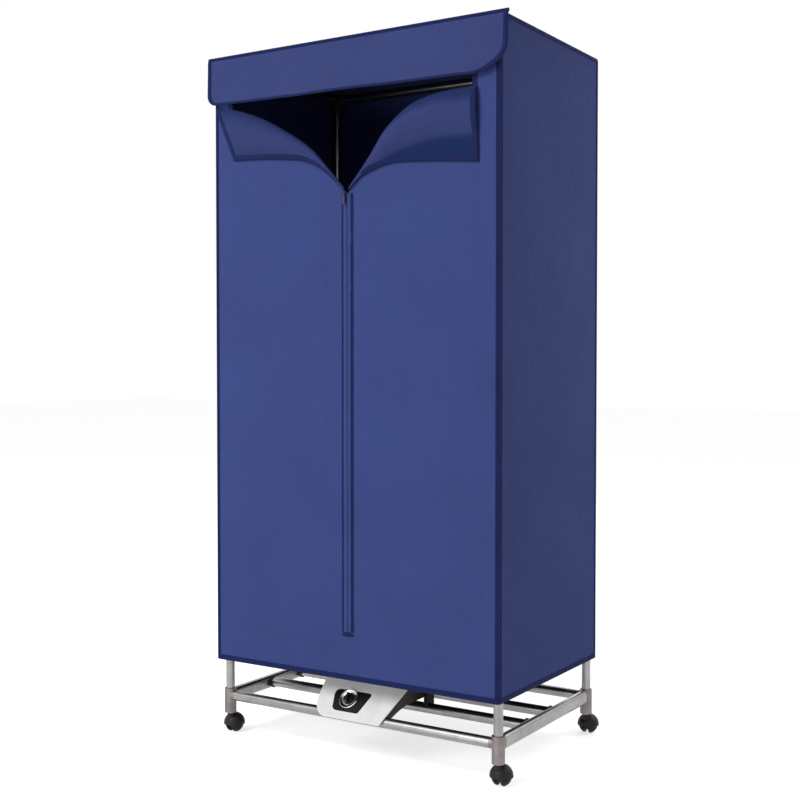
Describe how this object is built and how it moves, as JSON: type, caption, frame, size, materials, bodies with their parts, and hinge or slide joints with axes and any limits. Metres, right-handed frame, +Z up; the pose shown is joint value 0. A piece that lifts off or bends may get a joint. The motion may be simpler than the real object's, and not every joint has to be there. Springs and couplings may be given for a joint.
{
  "type": "drying cabinet",
  "caption": "Portable drying cabinet: a zipped cloth cover on a rolling tube frame, two tiers of hanging rods and a fan heater at its foot.",
  "frame": {"origin": "on the floor under the middle of the cover, between the four casters", "axes": "+Z up, front with the zip and the heater's controls towards -Y, +X to the right seen from the front"},
  "size_m": [0.726, 0.4849, 1.482],
  "materials": {
    "steel_tube": "drawn stainless tube with fine lengthwise brushing",
    "socket_metal": "cast socket, satin silver paint",
    "connector_plastic": "moulded dark plastic, lightly textured",
    "stem_steel": "plated steel",
    "caster_plastic": "moulded black nylon",
    "wheel_plastic": "black tread on a nylon core",
    "cover_cloth": "blue coated polyester, plain weave, slight sheen",
    "binding_cloth": "navy woven binding tape",
    "zip_metal": "nickel-look die casting",
    "heater_black": "black heat-resistant moulding, fine texture",
    "heater_white": "glossy white moulding",
    "panel_black": "glossy black moulding",
    "bezel_chrome": "plated ring",
    "inner_plastic": "natural nylon",
    "motor_steel": "zinc-plated steel",
    "element_aluminium": "bare aluminium fins"
  },
  "bodies": {
    "root": {"base_front_rail": "steel_tube", "base_rear_rail": "steel_tube", "base_left_rail": "steel_tube", "base_right_rail": "steel_tube", "heater_rails": "steel_tube", "front_left_lower_post": "steel_tube", "front_right_lower_post": "steel_tube", "rear_left_lower_post": "steel_tube", "rear_right_lower_post": "steel_tube", "upper_posts": "steel_tube", "mid_side_rails": "steel_tube", "mid_hanging_rods": "steel_tube", "top_cross_rails": "steel_tube", "top_side_rails": "steel_tube", "top_hanging_rods": "steel_tube", "base_sockets": "socket_metal", "mid_connectors": "connector_plastic", "top_connectors": "connector_plastic", "rod_hooks": "connector_plastic", "heater_rail_brackets": "connector_plastic", "caster_stems": "stem_steel", "cover_roof": "cover_cloth", "cover_back": "cover_cloth", "cover_left_side": "cover_cloth", "cover_right_side": "cover_cloth", "cover_apron": "cover_cloth", "cover_stiles": "cover_cloth", "cover_piping": "binding_cloth", "heater_tub": "heater_black", "intake_grille": "heater_black", "cable_gland": "heater_black", "heater_lid": "heater_black", "heater_fascia": "heater_white", "control_panel": "panel_black", "knob_bezel": "bezel_chrome", "timer_unit": "inner_plastic", "fan_motor": "motor_steel", "thermal_cutout": "motor_steel", "heating_element": "element_aluminium"},
    "left_door": {"left_door_panel": "cover_cloth", "left_zip_tape": "binding_cloth"},
    "right_door": {"right_door_panel": "cover_cloth", "right_zip_tape": "binding_cloth"},
    "left_flap": {"left_flap": "cover_cloth"},
    "right_flap": {"right_flap": "cover_cloth"},
    "zip_slider": {"zip_slider": "zip_metal"},
    "zip_pull": {"zip_pull": "zip_metal"},
    "valance": {"valance": "cover_cloth"},
    "timer_knob": {"timer_knob": "panel_black"},
    "fan": {"fan_impeller": "inner_plastic"},
    "front_left_caster": {"front_left_caster_hood": "caster_plastic"},
    "front_left_wheels": {"front_left_caster_wheels": "wheel_plastic"},
    "front_right_caster": {"front_right_caster_hood": "caster_plastic"},
    "front_right_wheels": {"front_right_caster_wheels": "wheel_plastic"},
    "rear_left_caster": {"rear_left_caster_hood": "caster_plastic"},
    "rear_left_wheels": {"rear_left_caster_wheels": "wheel_plastic"},
    "rear_right_caster": {"rear_right_caster_hood": "caster_plastic"},
    "rear_right_wheels": {"rear_right_caster_wheels": "wheel_plastic"}
  },
  "joints": [
    {"name": "left_door_swing", "type": "hinge", "parent": "root", "child": "left_door", "pos_m": [-0.3447, -0.228, 0.72], "axis": [0, 0, -1], "range_deg": [0, 75]},
    {"name": "right_door_swing", "type": "hinge", "parent": "root", "child": "right_door", "pos_m": [0.3447, -0.228, 0.72], "axis": [0, 0, 1], "range_deg": [0, 75]},
    {"name": "left_flap_fold", "type": "hinge", "parent": "left_door", "child": "left_flap", "pos_m": [-0.0004, -0.236, 1.167], "axis": [-0.8334, 0, 0.5527], "range_deg": [0, 75]},
    {"name": "right_flap_fold", "type": "hinge", "parent": "right_door", "child": "right_flap", "pos_m": [0.0004, -0.236, 1.167], "axis": [-0.8687, 0, -0.4954], "range_deg": [0, 75]},
    {"name": "zip_slide", "type": "slide", "parent": "left_door", "child": "zip_slider", "axis": [0, 0, 1], "range_m": [-0.878, 0]},
    {"name": "zip_pull_swing", "type": "hinge", "parent": "zip_slider", "child": "zip_pull", "pos_m": [-0.0048, -0.2358, 1.165], "axis": [-1, 0, 0], "range_deg": [0, 150]},
    {"name": "valance_lift", "type": "hinge", "parent": "root", "child": "valance", "pos_m": [0, -0.2322, 1.477], "axis": [-1, 0, 0], "range_deg": [0, 100]},
    {"name": "timer_turn", "type": "hinge", "parent": "root", "child": "timer_knob", "pos_m": [-0.021, -0.19307, 0.11618], "axis": [0, 0.7431, -0.6691], "range_deg": [0, 300]},
    {"name": "fan_spin", "type": "hinge", "parent": "root", "child": "fan", "pos_m": [0, -0.032, 0.146], "axis": [0, 0, 1], "continuous": true},
    {"name": "front_left_swivel", "type": "hinge", "parent": "root", "child": "front_left_caster", "pos_m": [-0.335, -0.2024, 0.044], "axis": [0, 0, 1], "continuous": true},
    {"name": "front_left_roll", "type": "hinge", "parent": "front_left_caster", "child": "front_left_wheels", "pos_m": [-0.335, -0.1894, 0.019], "axis": [1, 0, 0], "continuous": true},
    {"name": "front_right_swivel", "type": "hinge", "parent": "root", "child": "front_right_caster", "pos_m": [0.335, -0.2024, 0.044], "axis": [0, 0, 1], "continuous": true},
    {"name": "front_right_roll", "type": "hinge", "parent": "front_right_caster", "child": "front_right_wheels", "pos_m": [0.335, -0.1894, 0.019], "axis": [1, 0, 0], "continuous": true},
    {"name": "rear_left_swivel", "type": "hinge", "parent": "root", "child": "rear_left_caster", "pos_m": [-0.335, 0.2104, 0.044], "axis": [0, 0, 1], "continuous": true},
    {"name": "rear_left_roll", "type": "hinge", "parent": "rear_left_caster", "child": "rear_left_wheels", "pos_m": [-0.335, 0.2234, 0.019], "axis": [1, 0, 0], "continuous": true},
    {"name": "rear_right_swivel", "type": "hinge", "parent": "root", "child": "rear_right_caster", "pos_m": [0.335, 0.2104, 0.044], "axis": [0, 0, 1], "continuous": true},
    {"name": "rear_right_roll", "type": "hinge", "parent": "rear_right_caster", "child": "rear_right_wheels", "pos_m": [0.335, 0.2234, 0.019], "axis": [1, 0, 0], "continuous": true}
  ]
}
